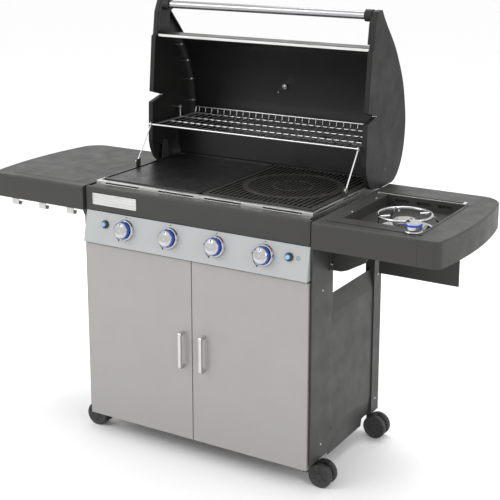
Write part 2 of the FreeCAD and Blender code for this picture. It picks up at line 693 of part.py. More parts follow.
def burner_shield():
    """Heat shield box hung under the tray."""
    outside = box((537, 716), (89, 290), (738, 806))
    return outside.cut(box((538.2, 714.8), (90.2, 288.8), (739.2, 807)))


def lid_slot():
    """Bright channel in the shelf top, with a slit through which the burner lid drops."""
    frame = box((SLOT_X[0] + 0.5, SLOT_X[1] - 0.5), (SLOT_Y[0] + 0.5, SLOT_Y[1] - 0.5), (832, SHELF_TOP + 3))
    rim = box((SLOT_X[0] - 4, SLOT_X[1] + 4), (SLOT_Y[0] - 0.9, SLOT_Y[1] + 4), (SHELF_TOP, SHELF_TOP + 3))
    slit = box((BURNER_LID_X[0] - 1, BURNER_LID_X[1] + 1), (408.5, 415.5), (800, 900))
    return fused([frame, rim]).cut(slit)


def burner_lid():
    """Flanged sheet, stowed hanging in its slot by the lip along its top."""
    x = BURNER_LID_X
    z = (BURNER_LID_BOTTOM, SHELF_TOP + 4.4)
    sheet = box(x, (409.5, 411), z)
    flanges = [box((x[0], x[0] + SHEET), (409.5, 414.5), z), box((x[1] - SHEET, x[1]), (409.5, 414.5), z),
               box(x, (409.5, 414.5), (z[0], z[0] + SHEET))]
    lip = box((x[0] - 3, x[1] + 3), (404.5, 419.5), (z[1] - 1, z[1] + 1))
    return fused([sheet, lip] + flanges)


SIDE_BEZEL = [(7.5, 0), (26, 0), (26, 2), (24, 5), (7.5, 5)]


def side_knob_place():
    return point(*SIDE_KNOB, SHELF_TOP + SHEET), Z


def side_valve():
    """Valve of the side burner, hung under the tray ledge, bored for its stem."""
    top = SHELF_TOP - SHELF_WALL
    body = rod(11, point(*SIDE_KNOB, top - 32), point(*SIDE_KNOB, top))
    return body.cut(rod(STEM_R + FIT, point(*SIDE_KNOB, top - 29), point(*SIDE_KNOB, top + 1)))


# ---------------------------------------------------------------- lid, drawn open

CAP_FRONT = [(553, 844), (470, 843), (404, 851), (386, 864), (372, 884), (362, 905), (357, 930), (362, 1062),
             (429, 1079), (367, 1097), (385, 1283), (394, 1289), (405, 1365), (422, 1400), (430, 1404), (450, 1404)]
CAP_REAR = [(450, 1404), (475, 1370), (505, 1336), (549, 1287), (586, 1231), (622, 1161), (641, 1093),
            (650, 1038), (648, 986), (634, 924), (613, 885), (587, 858), (553, 844)]
SKIN_LINE = [(398, 1291), (450, 1290), (505, 1284), (545, 1262), (578, 1220), (606, 1165), (627, 1100),
             (637, 1038), (635, 988), (623, 932), (604, 892), (580, 868), (556, 855)]
BRACKET = [(398, 1302), (407, 1365), (423, 1398), (430, 1402), (448, 1402), (454, 1392), (466, 1372), (452, 1302)]


def inward(start, end):
    """Unit vector across a stretch of the cap's outline, towards the middle of the cap."""
    run = math.hypot(end[0] - start[0], end[1] - start[1])
    return (end[1] - start[1]) / run, (start[0] - end[0]) / run


def cap_face(x, inset=0.0):
    """Face of the cap across X, with mitred corners when it is inset: straight front, smooth rear."""
    line = CAP_FRONT + CAP_REAR[1:-1]
    moved = []
    for index, (y, z) in enumerate(line):
        before = inward(line[index - 1], (y, z))
        after = inward((y, z), line[(index + 1) % len(line)])
        share = inset / (1 + before[0] * after[0] + before[1] * after[1])
        moved.append(point(x, y + (before[0] + after[0]) * share, z + (before[1] + after[1]) * share))
    front = moved[:len(CAP_FRONT)]
    rear = [front[-1]] + moved[len(CAP_FRONT):] + [front[0]]
    return Part.Face(Part.Wire(Part.makePolygon(front).Edges + [smooth_edge(rear)]))


def lid_cap():
    """Cast end of the lid: outer plate, rim, hinge boss, and the bracket that holds the handle."""
    solid = cap_face(CAP_IN).extrude(X * (CAP_OUT - CAP_IN))
    pocket = cap_face(CAP_IN - 1, 5).extrude(X * (CAP_OUT - CAP_IN - 3))
    bracket = prism_x(BRACKET, 385, CAP_OUT - 3.5)
    socket = rod(19, point(362, *BAR), point(386, *BAR))
    boss = rod(14, point(CAP_IN, *HINGE), point(CAP_OUT - 1, *HINGE))
    cap = fused([solid.cut(pocket), bracket, socket, boss])
    return cap.cut(rod(HINGE_PIN_R + FIT, point(380, *HINGE), point(430, *HINGE)))


DIAL = FreeCAD.Vector(-22, 623, 1114)
DIAL_OUT = FreeCAD.Vector(0, 0.95, 0.31).normalize()


def lid_skin():
    """Curved sheet between the end caps, with a flanged lip along its front."""
    half = CAP_IN - GAP
    inner_line = offset_line(SKIN_LINE, -2)
    outer = [point(-half, y, z) for y, z in SKIN_LINE]
    inner = [point(-half, y, z) for y, z in inner_line]
    edges = [smooth_edge(outer), Part.LineSegment(outer[-1], inner[-1]).toShape(), smooth_edge(inner),
             Part.LineSegment(inner[0], outer[0]).toShape()]
    sheet = Part.Face(Part.Wire(Part.sortEdges(edges)[0])).extrude(X * (2 * half))
    lip = box((-half, half), (398, 400), (1280, 1291))
    hem = box((-half, half), (398, 410), (1280, 1282))
    return fused([sheet, lip, hem]).cut(dial_probe())


def handle_bar():
    return rod(BAR_R, point(-362, *BAR), point(362, *BAR))


def lid_clips():
    """Clips with screws that hold the skin to the caps."""
    clips = []
    for y, z in ((528, 1240), (566, 1180), (588, 1112), (598, 1035)):
        clip = box((CAP_IN - 14, CAP_IN + 12), (y - 9, y + 9), (z - 1, z + 1))
        screw = rod(5, point(CAP_IN - 8, y, z + 1), point(CAP_IN - 8, y, z + 4))
        clips += both_sides(fused([clip, screw]))
    return clips


def thermometer():
    """Dial on the outside of the skin, its nut and probe on the inside."""
    dial = rod(26, DIAL + DIAL_OUT * 3, DIAL + DIAL_OUT * 13)
    nut = rod(9, DIAL - DIAL_OUT * 12, DIAL - DIAL_OUT * 5)
    return fused([dial, dial_probe(), nut])


def dial_probe():
    return rod(3, DIAL - DIAL_OUT * 55, DIAL + DIAL_OUT * 4)


def rack_pivots():
    """Pins on the caps that carry the rear of the warming rack."""
    return both_sides(rod(WIRE_R, point(375, *RACK_REAR_PIVOT), point(CAP_OUT - 4, *RACK_REAR_PIVOT)))


def hinge_bracket():
    """Upright plate on the deck trim with the pin of the lid hinge."""
    y, z = HINGE
    outline = [(y - 22, TRIM_Z[1]), (y - 13, z), (y - 9, z + 9), (y, z + 13), (y + 9, z + 9), (y + 13, z), (y + 22, TRIM_Z[1])]
    plate = prism_x(outline, 386, 390)
    foot = box((384, 391), (y - 22, y + 22), (TRIM_Z[1], TRIM_Z[1] + 3))
    pin = rod(HINGE_PIN_R, point(388, y, z), point(CAP_OUT - 0.5, y, z))
    return fused([plate, foot, pin])


# ---------------------------------------------------------------- warming rack

def warming_rack():
    """Wire rack with a raised fence at its back, and two upright eyes on its rear pivots."""
    y0, z0 = RACK_FRONT
    rear = 603.0
    half = 380.0
    wires = [rod(WIRE_R, point(-391, y0, z0), point(391, y0, z0))]
    wires += [rod(2.6, point(-half, y, z0), point(half, y, z0)) for y in (430, 516, rear)]
    wires.append(rod(2.6, point(-half, rear + 6, z0 + 22), point(half, rear + 6, z0 + 22)))
    for x in (-half, half):
        wires.append(box((x - 2.8, x + 2.8), (y0, rear), (z0 - 2.8, z0 + 2.8)))
        wires.append(box((x - 2.8, x + 2.8), (rear - 2, rear + 8), (z0 - 2.8, z0 + 24)))
    for index in range(29):
        x = -half + 26 * (index + 0.6)
        wires.append(box((x - 1.5, x + 1.5), (y0, rear + 1), (z0 + 0.8, z0 + 3.8)))
        wires.append(box((x - 1.5, x + 1.5), (rear + 1, rear + 4), (z0 + 0.8, z0 + 20)))
        wires.append(box((x - 1.5, x + 1.5), (rear + 1, rear + 6), (z0 + 18, z0 + 21)))
    y, z = RACK_REAR_PIVOT
    for x in (-half, half):
        post = box((x - 3, x + 3), (y - 3, y + 3), (z0, z - 4))
        eye = washer(8, WIRE_R - 1, point(x - 3, y, z), point(x + 3, y, z))
        wires.append(fused([post, eye]))
    whole = fused(wires)
    for x in (-half, half):
        whole = whole.cut(rod(WIRE_R + FIT, point(x - 4, y, z), point(x + 4, y, z)))
    return whole


LEG_X = 388.0


def rack_legs():
    """Wire links from the deck to the front bar of the rack, with an eye at each end."""
    low = point(LEG_X, *LEG_PIVOT)
    high = point(LEG_X, *RACK_FRONT)
    run = (high - low).normalize()
    link = rod(2.2, low + run * 5, high - run * 5)
    half = X * 2.4
    lower_eye = washer(7, WIRE_R - 0.5 + FIT, low - half, low + half)
    upper_eye = washer(7, WIRE_R + 0.5, high - half, high + half)
    link = fused([link, lower_eye, upper_eye])
    link = link.cut(rod(WIRE_R - 0.5 + FIT, low - X * 5, low + X * 5))
    return group(both_sides(link.cut(rod(WIRE_R + 0.5, high - X * 5, high + X * 5))))


def rack_bracket():
    """Small upright on the deck trim with the pin of the rack link."""
    y, z = LEG_PIVOT
    plate = box((382.6, 385.2), (y - 11, y + 11), (TRIM_Z[1] + 5.5, z + 9))
    foot = box((384, 391), (y - 11, y + 11), (TRIM_Z[1], TRIM_Z[1] + 2.5))
    web = box((384, 385.2), (y - 11, y + 11), (TRIM_Z[1], z))
    pin = rod(WIRE_R - 0.5, point(384, y, z), point(LEG_X + 4, y, z))
    return fused([plate, foot, web, pin])


# ---------------------------------------------------------------- casters

def caster_axle(name):
    stem_x, stem_y = CASTER_STEM[name]
    return point(stem_x + math.copysign(CASTER_TRAIL, stem_x), stem_y, WHEEL_R)


def caster_frame(name):
    """Stem with its collar, and the web between the two wheels, bored for the axle."""
    stem_x, stem_y = CASTER_STEM[name]
    axle = caster_axle(name)
    web_y = Y * WEB_HALF
    disc = rod(30, axle - web_y, axle + web_y)
    low_x, high_x = sorted((stem_x - math.copysign(10, stem_x), axle.x))
    neck = box((low_x, high_x), (stem_y - WEB_HALF, stem_y + WEB_HALF), (WHEEL_R, 76))
    neck = neck.cut(rod(30, axle - web_y, axle + web_y))
    collar = rod(10, point(stem_x, stem_y, 74), point(stem_x, stem_y, LEG_BOTTOM - GAP))
    stem = rod(5, point(stem_x, stem_y, 74), point(stem_x, stem_y, LEG_BOTTOM + 8))
    body = fused([disc, neck, collar, stem]).cut(rod(4 + FIT, axle - web_y * 2, axle + web_y * 2))
    if name.startswith("front"):
        body = fused([body] + brake_ears(name))
    return body


def caster_wheels(name):
    """Two wheels on one axle."""
    axle = caster_axle(name)
    inner = WEB_HALF + 1
    outer = inner + WHEEL_WIDTH
    wheel = [(0, inner), (WHEEL_R - 6, inner), (WHEEL_R, inner + 4), (WHEEL_R, outer - 4), (WHEEL_R - 2, outer - 1),
             (WHEEL_R - 6, outer), (WHEEL_R - 12, outer - 2), (9, outer - 2), (8, outer), (0, outer)]
    wheels = [turned(wheel, axle, Y), turned(wheel, axle, -Y)]
    return fused(wheels + [rod(4, axle - Y * (inner + 1), axle + Y * (inner + 1))])


def brake_pivot(name):
    axle = caster_axle(name)
    return point(axle.x + math.copysign(14, axle.x), axle.y, axle.z + 34)


def brake_ears(name):
    """Two ears on the web, and the pin between them for the brake lever."""
    pivot = brake_pivot(name)
    ears = []
    for y0, y1 in ((-WEB_HALF, -4.4), (4.4, WEB_HALF)):
        ears.append(box((pivot.x - 6, pivot.x + 6), (pivot.y + y0, pivot.y + y1), (pivot.z - 14, pivot.z + 2.5)))
    return ears + [rod(BRAKE_PIN_R, pivot - Y * WEB_HALF, pivot + Y * WEB_HALF)]


def brake_lever(name):
    """Foot lever that rocks on its pin between the wheels, with a wider tread on top."""
    pivot = brake_pivot(name)
    side = math.copysign(1, pivot.x)
    hub = [(-3.5, -3.5), (3.5, -3.5), (4.5, 2), (12, 6), (12, 8), (-6, 8), (-6, 6), (-3.5, 2)]
    tread = [(-7, 6), (11, 6), (13, 5.2), (13, 9), (9, 9.6), (-5, 9.6), (-7, 8.5)]
    lever = fused([prism_y([(pivot.x + side * x, pivot.z + z) for x, z in hub], pivot.y - 4, pivot.y + 4),
                   prism_y([(pivot.x + side * x, pivot.z + z) for x, z in tread], pivot.y - 6, pivot.y + 6)])
    return lever.cut(rod(BRAKE_PIN_R + FIT, pivot - Y * 8, pivot + Y * 8))


# ---------------------------------------------------------------- write

def write(name, shape):
    shape = shape.copy()
    shape.translate(BODY_SHIFT)
    shape.exportStep("parts/%s.step" % name)


def write_cart():
    write("front_legs", group(both_sides(front_leg())))
    write("rear_legs", group(both_sides(rear_leg())))
    write("side_panels", group(both_sides(side_panel())))
    write("frame_rails", group(both_sides(side_rail()) + both_sides(tray_runner()) + [rear_rail(), front_rail()]))
    write("base_shelf", base_shelf())
    write("door_left", door(-1))
    write("door_right", door(1))
    write("door_handle_left", door_handle(-32, 312, 430))
    write("door_handle_right", door_handle(44, 312, 430))
    write("door_hinges", door_hinges())
    write("drip_tray", drip_tray())


def write_front():
    write("control_panel", control_panel())
    write("fascia", fascia())
    write("badge_plate", badge())
    places = [panel_frame(knob_x(index), KNOB_Z) for index in range(4)]
    write("knob_bezels", group([turned(BEZEL, *place) for place in places] + [turned(SIDE_BEZEL, *side_knob_place())]))
    for index, place in enumerate(places):
        write("knob_%d" % (index + 1), turned(KNOB, *place))
    write("side_knob", turned(SIDE_KNOB_PROFILE, *side_knob_place()))
    write("igniter_bases", igniter_bases())
    write("igniter_button_left", igniter_button(BUTTON_X[0]))
    write("igniter_button_right", igniter_button(BUTTON_X[1]))
    write("gas_train", group([gas_manifold(), side_valve()] + gas_valves()))


def write_deck():
    write("firebox", firebox())
    write("main_burners", group([main_burner(index) for index in range(4)]))
    write("flame_tamers", flame_tamers())
    write("deck_trim", deck_trim())
    write("griddle_plate", griddle())
    write("cooking_grate", cooking_grate())
    write("grate_insert", grate_insert())
    write("back_shield", back_shield())


def write_shelves():
    write("left_shelf", group([left_shelf(), mirrored(shelf_end())]))
    write("right_shelf", group([right_shelf(), shelf_end()]))
    write("shelf_brackets", group(both_sides(shelf_bracket())))
    write("tool_hooks", tool_hooks())
    write("burner_tray", group([burner_tray(), burner_shield()]))
    write("burner_bowl", burner_bowl())
    write("side_burner", side_burner())
    write("pan_support", pan_support())
    write("lid_slot", lid_slot())
    write("burner_lid", burner_lid())


def write_lid():
    write("lid_caps", group(both_sides(lid_cap())))
    write("lid_skin", lid_skin())
    write("handle_bar", handle_bar())
    write("lid_clips", group(lid_clips() + rack_pivots()))
    write("thermometer", thermometer())
    write("lid_brackets", group(both_sides(hinge_bracket()) + both_sides(rack_bracket())))
    write("warming_rack", warming_rack())
    write("rack_legs", rack_legs())


def write_casters():
    for name in CASTER_STEM:
        write("caster_frame_" + name, caster_frame(name))
        write("caster_wheels_" + name, caster_wheels(name))
    for name in ("front_left", "front_right"):
        write("brake_lever_" + name, brake_lever(name))


def main():
    os.makedirs("parts", exist_ok=True)
    write_cart()
    write_front()
    write_deck()
    write_shelves()
    write_lid()
    write_casters()


main()
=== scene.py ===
import json
import math

import bmesh
import bpy
from mathutils import Matrix, Vector


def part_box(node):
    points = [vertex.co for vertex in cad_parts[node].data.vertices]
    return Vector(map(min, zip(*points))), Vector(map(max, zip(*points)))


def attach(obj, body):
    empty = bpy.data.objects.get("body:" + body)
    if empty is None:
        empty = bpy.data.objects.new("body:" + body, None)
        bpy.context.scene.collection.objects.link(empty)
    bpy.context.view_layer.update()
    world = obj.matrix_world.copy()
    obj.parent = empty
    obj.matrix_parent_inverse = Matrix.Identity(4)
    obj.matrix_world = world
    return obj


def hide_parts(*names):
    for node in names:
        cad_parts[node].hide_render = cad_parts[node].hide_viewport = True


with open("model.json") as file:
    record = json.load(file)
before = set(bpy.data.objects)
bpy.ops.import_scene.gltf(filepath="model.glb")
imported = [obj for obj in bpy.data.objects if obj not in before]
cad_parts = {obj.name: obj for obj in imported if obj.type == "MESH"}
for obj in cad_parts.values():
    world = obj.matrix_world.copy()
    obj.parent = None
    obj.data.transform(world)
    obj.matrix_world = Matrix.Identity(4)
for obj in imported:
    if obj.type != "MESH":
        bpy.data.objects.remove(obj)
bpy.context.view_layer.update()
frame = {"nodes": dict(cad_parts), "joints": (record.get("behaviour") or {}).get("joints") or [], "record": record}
record = frame["record"]
joints = {joint["name"]: joint for joint in frame["joints"]}
X = Vector((1, 0, 0))
Y = Vector((0, 1, 0))
Z = Vector((0, 0, 1))
MM = 0.001
FACE_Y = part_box("door_right")[0].y


def at(x, y, z):
    """A point from millimetres: X from the middle, Y behind the door fronts, Z above the floor."""
    return Vector((x * MM, FACE_Y + y * MM, z * MM))


# ---------------------------------------------------------------- material nodes

class Look:
    """One procedural material: a Principled shader and the nodes that feed it."""

    def __init__(self, name, color, metallic, roughness):
        self.material = bpy.data.materials.new(name)
        self.material.use_nodes = True
        self.tree = self.material.node_tree
        self.shader = self.tree.nodes["Principled BSDF"]
        self.color = tuple(color) + (1.0,)
        self.shader.inputs["Base Color"].default_value = self.color
        self.shader.inputs["Metallic"].default_value = metallic
        self.shader.inputs["Roughness"].default_value = roughness

    def node(self, kind, links=None, **values):
        made = self.tree.nodes.new(kind)
        for key, value in values.items():
            made.inputs[key.replace("_", " ")].default_value = value
        for key, output in (links or {}).items():
            self.tree.links.new(output, made.inputs[key])
        return made

    def noise(self, scale, detail=3.0, stretch=(1, 1, 1)):
        """Noise in the object's own space; a small stretch value draws it out along that axis."""
        coords = self.node("ShaderNodeTexCoord")
        mapping = self.node("ShaderNodeMapping", {"Vector": coords.outputs["Object"]}, Scale=stretch)
        vector = {"Vector": mapping.outputs["Vector"]}
        return self.node("ShaderNodeTexNoise", vector, Scale=scale, Detail=detail).outputs["Fac"]

    def spread(self, value, low, high, start=0.3, end=0.7):
        made = self.node("ShaderNodeMapRange", {"Value": value})
        made.inputs["From Min"].default_value = start
        made.inputs["From Max"].default_value = end
        made.inputs["To Min"].default_value = low
        made.inputs["To Max"].default_value = high
        return made.outputs["Result"]

    def tint(self, factor, first, second):
        """Colour between two shades of the base colour, or two colours, by a factor."""
        made = self.node("ShaderNodeMix", {"Factor": factor})
        made.data_type = "RGBA"
        for index, value in ((6, first), (7, second)):
            if isinstance(value, float):
                value = tuple(min(1.0, c * value) for c in self.color[:3]) + (1.0,)
            if isinstance(value, tuple):
                made.inputs[index].default_value = value
            else:
                self.tree.links.new(value, made.inputs[index])
        return made.outputs[2]

    def edges(self, radius):
        """How near the surface is to a sharp edge, and the normal with that edge rounded."""
        bevel = self.node("ShaderNodeBevel", Radius=radius)
        bevel.samples = 4
        geometry = self.node("ShaderNodeNewGeometry")
        dot = self.node("ShaderNodeVectorMath")
        dot.operation = "DOT_PRODUCT"
        self.tree.links.new(bevel.outputs["Normal"], dot.inputs[0])
        self.tree.links.new(geometry.outputs["Normal"], dot.inputs[1])
        return self.spread(dot.outputs["Value"], 1.0, 0.0, 0.75, 0.995), bevel.outputs["Normal"]

    def bump(self, height, strength, distance, normal=None):
        links = {"Height": height}
        if normal is not None:
            links["Normal"] = normal
        return self.node("ShaderNodeBump", links, Strength=strength, Distance=distance).outputs["Normal"]

    def feed(self, **sockets):
        for key, output in sockets.items():
            self.tree.links.new(output, self.shader.inputs[key.replace("_", " ")])


KNOB_FRONT = 30.4              # height of a knob's face over its joint, mm
SCALE_R = 40.0                 # radius of the printed scale round a knob, mm
RACK_HALF = 0.380              # half width of the warming rack's frame, m
RACK_PITCH = 0.026             # spacing of the rack's fine wires, m
RACK_WIRES = 29
FRAME_WIRE_R = 2.6             # radii of the rack's wires, mm
FINE_WIRE_R = 1.5
RING_CENTRE = (620, 175)       # middle of the side burner, mm
DIAL_CENTRE = (-22, 623, 1114)
LIP_CENTRE = (0, 397.7, 1285.5)
LID_PIN = (425, 1079)          # Y and Z of the pin in each lid end's notch, mm
LID_PLUG = (499, 898)          # Y and Z of the plug low on each lid end, mm
FLOOR_REACH = 60.0             # half width of the floor, m
CAMERA_PLACE = (1.8855, -3.109, 1.7415)
CAMERA_TILT = 76.482           # degrees from looking straight down
CAMERA_TURN = 30.914           # degrees to the left of straight ahead
CAMERA_LENS = 83.64
CAMERA_SHIFT = -0.15

SLOT_COLORS = {entry["slot"]: entry["base_color"] for entry in record["materials"]}
materials = {}


def paint(slot, roughness, grain, edge_highlight=1.5, metallic=0.0, cloud=0.05, gloss=0.5):
    """Powder coat or enamel: cloudy tone, fine grain, and a painted highlight that lightens the sharp edges."""
    look = Look(slot, SLOT_COLORS[slot], metallic, roughness)
    look.shader.inputs["Specular IOR Level"].default_value = gloss
    near, normal = look.edges(0.0015)
    tone = look.tint(look.noise(5.0, 5.0), 1.0 - cloud, 1.0 + cloud)
    speckle = look.noise(1400.0, 2.0)
    fine = look.tint(look.spread(speckle, 0.0, 0.16), tone, 1.5)
    # Lighter towards sharp edges: a painted highlight, its strength set by the edge factor.
    look.feed(Base_Color=look.tint(look.spread(near, 0.0, 0.5, 0.0, 1.0), fine, edge_highlight))
    look.feed(Roughness=look.spread(look.noise(18.0, 6.0), roughness - 0.06, roughness + 0.09))
    peel = look.noise(520.0, 2.0)
    look.feed(Normal=look.bump(peel, grain, 0.0004, normal))
    materials[slot] = look.material


def brushed(slot, roughness, stretch, depth=0.12, edge_highlight=1.15, shine=1.0):
    """Metal brushed along the axis whose stretch value is small; shine scales its brightness, and a painted
    highlight lightens its sharp edges.
    """
    look = Look(slot, SLOT_COLORS[slot], 1.0, roughness)
    near, normal = look.edges(0.001)
    lines = look.noise(420.0, 6.0, stretch)
    tone = look.tint(look.spread(lines, 0.0, 1.0), 0.86 * shine, 1.1 * shine)
    smear = look.spread(look.noise(9.0, 5.0), roughness - 0.05, roughness + 0.1)
    # Lighter towards sharp edges: a painted highlight, its strength set by the edge factor.
    look.feed(Base_Color=look.tint(look.spread(near, 0.0, 0.6, 0.0, 1.0), tone, edge_highlight))
    look.feed(Roughness=smear, Normal=look.bump(lines, depth, 0.0002, normal))
    materials[slot] = look.material


def polished(slot, roughness, shine=1.0):
    """Plated metal with faint smears; shine scales its brightness."""
    look = Look(slot, SLOT_COLORS[slot], 1.0, roughness)
    normal = look.edges(0.0008)[1]
    smear = look.noise(30.0, 6.0)
    look.feed(Base_Color=look.tint(look.spread(smear, 0.0, 1.0), 0.94 * shine, 1.05 * shine))
    look.feed(Roughness=look.spread(smear, roughness, roughness + 0.09))
    look.feed(Normal=look.bump(look.noise(260.0, 2.0), 0.02, 0.0002, normal))
    materials[slot] = look.material


def moulded(slot, roughness, grain):
    """Moulded plastic or rubber with a fine leather-like grain."""
    look = Look(slot, SLOT_COLORS[slot], 0.0, roughness)
    normal = look.edges(0.001)[1]
    look.feed(Base_Color=look.tint(look.noise(14.0, 4.0), 0.85, 1.2))
    look.feed(Roughness=look.spread(look.noise(60.0, 5.0), roughness - 0.05, roughness + 0.12))
    look.feed(Normal=look.bump(look.noise(1500.0, 3.0), grain, 0.0003, normal))
    materials[slot] = look.material


def cast(slot):
    """Enamelled casting: pitted, with a dusty bloom on it, and a painted highlight on its sharp edges."""
    look = Look(slot, SLOT_COLORS[slot], 0.0, 0.5)
    near, normal = look.edges(0.0015)
    pits = look.noise(650.0, 5.0)
    bloom = look.tint(look.spread(look.noise(22.0, 7.0), 0.0, 0.5), 0.8, 2.1)
    # Lighter towards sharp edges: a painted highlight.
    look.feed(Base_Color=look.tint(look.spread(near, 0.0, 0.6, 0.0, 1.0), bloom, 2.6))
    look.feed(Roughness=look.spread(pits, 0.36, 0.62), Normal=look.bump(pits, 0.35, 0.0006, normal))
    materials[slot] = look.material


def make_materials():
    """Every finish of the grill, by its slot in the record."""
    # The edge factor in some calls sets the strength of the painted highlight on sharp edges.
    paint("charcoal_paint", 0.45, 0.10, gloss=0.36)
    paint("lid_paint", 0.48, 0.06, gloss=0.2)
    paint("black_enamel", 0.36, 0.04, edge_highlight=1.6, cloud=0.04)
    paint("door_paint", 0.42, 0.05, edge_highlight=1.15, metallic=0.35, cloud=0.02)
    paint("panel_silver", 0.4, 0.02, edge_highlight=1.08, metallic=0.25, cloud=0.02)
    brushed("badge", 0.34, (0.03, 1, 1), depth=0.05, shine=0.7)
    polished("chrome", 0.12, shine=0.62)
    polished("rack_chrome", 0.38)
    brushed("satin_handle", 0.34, (1, 1, 0.04))
    brushed("bar_aluminium", 0.3, (0.015, 1, 1), shine=0.8)
    moulded("black_plastic", 0.45, 0.12)
    moulded("blue_button", 0.25, 0.02)
    polished("gas_brass", 0.3)
    brushed("burner_steel", 0.36, (0.03, 1, 1), edge_highlight=1.3)
    brushed("trim_steel", 0.34, (0.03, 1, 1), depth=0.06)
    polished("thermometer", 0.14)
    cast("cast_iron")
    brushed("galvanised", 0.45, (1, 0.05, 1))
    moulded("grey_plastic", 0.45, 0.1)
    moulded("wheel_rubber", 0.6, 0.2)


def print_ink(name, color, roughness):
    """Ink or a small inlay, with a slightly uneven lay."""
    look = Look(name, color, 0.0, roughness)
    look.feed(Base_Color=look.tint(look.noise(900.0, 3.0), 0.85, 1.15))
    look.feed(Roughness=look.spread(look.noise(300.0, 3.0), roughness - 0.04, roughness + 0.08))
    return look.material


# ---------------------------------------------------------------- mesh helpers

def across(axis):
    """Two unit vectors across an axis: the second is as near to up as it can be."""
    axis = Vector(axis).normalized()
    up = Z - axis * axis.z
    if up.length < 0.1:
        up = Y.copy()
    up.normalize()
    return up.cross(axis), up


def skin(bm, rings, closed=False):
    """Faces between rings of points, with the two ends capped unless the run is closed."""
    loops = [[bm.verts.new(p) for p in ring] for ring in rings]
    pairs = list(zip(loops, loops[1:]))
    if closed:
        pairs.append((loops[-1], loops[0]))
    count = len(loops[0])
    for low, high in pairs:
        for i in range(count):
            j = (i + 1) % count
            bm.faces.new((low[i], low[j], high[j], high[i]))
    if not closed:
        bm.faces.new(list(reversed(loops[0])))
        bm.faces.new(loops[-1])


def lathe(bm, profile, centre, axis, steps=48):
    """A closed solid turned about an axis from (radius, height) values in millimetres."""
    side, up = across(axis)
    axis = Vector(axis).normalized()
    rings = []
    for radius, height in profile:
        middle = centre + axis * height * MM
        radius = max(radius, 0.01) * MM
        turns = [2 * math.pi * k / steps for k in range(steps)]
        rings.append([middle + (side * math.cos(a) + up * math.sin(a)) * radius for a in turns])
    skin(bm, rings)


def block(bm, centre, size, axes=(X, Y, Z)):
    """A chamfered block with its size, in millimetres, along three axes."""
    half = [s * MM / 2 for s in size]
    cut = min(half) * 0.3
    rings = []
    for height, inset in ((-half[2], cut), (-half[2] + cut, 0), (half[2] - cut, 0), (half[2], cut)):
        a = half[0] - inset
        b = half[1] - inset
        corners = ((-a, -b + cut), (-a + cut, -b), (a - cut, -b), (a, -b + cut),
                   (a, b - cut), (a - cut, b), (-a + cut, b), (-a, b - cut))
        rings.append([centre + axes[0] * u + axes[1] * v + axes[2] * height for u, v in corners])
    skin(bm, rings)


def arc_band(bm, centre, axis, radius, width, start, end, height, lift=0.0):
    """A raised band along an arc; angles run clockwise from the top, seen from in front."""
    side, up = across(axis)
    axis = Vector(axis).normalized()
    steps = max(3, int(abs(end - start) / 6))
    rings = []
    for k in range(steps + 1):
        angle = math.radians(start + (end - start) * k / steps)
        out = up * math.cos(angle) + side * math.sin(angle)
        corners = ((radius - width / 2, lift), (radius + width / 2, lift),
                   (radius + width / 2, lift + height), (radius - width / 2, lift + height))
        rings.append([centre + out * r * MM + axis * h * MM for r, h in corners])
    skin(bm, rings)


def wire(bm, points, radius, sides=8):
    """A round wire through points, mitred at its bends."""
    rings = []
    for index, spot in enumerate(points):
        before = points[max(index - 1, 0)]
        after = points[min(index + 1, len(points) - 1)]
        run = (after - before).normalized()
        side = run.cross(Z if abs(run.z) < 0.9 else X).normalized()
        up = side.cross(run)
        turns = [2 * math.pi * k / sides for k in range(sides)]
        rings.append([spot + (side * math.cos(a) + up * math.sin(a)) * radius * MM for a in turns])
    skin(bm, rings)


def hex_bolt(bm, centre, axis, radius=4.2):
    """A washer and a six-sided head with a domed top."""
    lathe(bm, [(radius * 1.45, 0), (radius * 1.45, 0.7), (radius * 1.3, 1.0)], centre, axis, 28)
    lathe(bm, [(radius, 0.9), (radius, 3.2), (radius * 0.82, 3.9)], centre, axis, 6)


def pan_screw(bm, centre, axis, radius=3.4):
    """A domed screw head with a driver slot between its two halves."""
    side, up = across(axis)
    axis = Vector(axis).normalized()
    lathe(bm, [(radius, 0), (radius, 0.5), (radius * 0.94, 0.8)], centre, axis, 24)
    for sign in (-1, 1):
        rings = []
        for height, share in ((0.7, 0.93), (1.3, 0.85), (1.8, 0.62)):
            angles = [math.radians(8 + 164 * k / 10) for k in range(11)]
            rings.append([centre + axis * height * MM + side * math.cos(a) * radius * share * MM
                          + up * sign * max(math.sin(a) * radius * share, 0.35) * MM for a in angles])
        skin(bm, rings)


def finish_piece(name, bm, material, body):
    """Turns the mesh into a piece that rides on a body and takes its finish from a slot."""
    bmesh.ops.remove_doubles(bm, verts=bm.verts, dist=1e-7)
    bmesh.ops.recalc_face_normals(bm, faces=bm.faces)
    mesh = bpy.data.meshes.new(name)
    bm.to_mesh(mesh)
    bm.free()
    mesh.shade_smooth()
    mesh.set_sharp_from_angle(angle=math.radians(32))
    mesh.materials.append(material)
    piece = bpy.data.objects.new(name, mesh)
    bpy.context.scene.collection.objects.link(piece)
    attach(piece, body)
    return piece


# ---------------------------------------------------------------- CAD nodes

def dress_cad_nodes():
    """Gives each CAD node the procedural material of its slot."""
    for entry in record["subparts"]:
        node = frame["nodes"][entry["node"]]
        slots = node.material_slots
        if not slots:
            node.data.materials.append(materials[entry["material_slot"]])
        for place in slots:
            place.material = materials[entry["material_slot"]]


# ---------------------------------------------------------------- front details

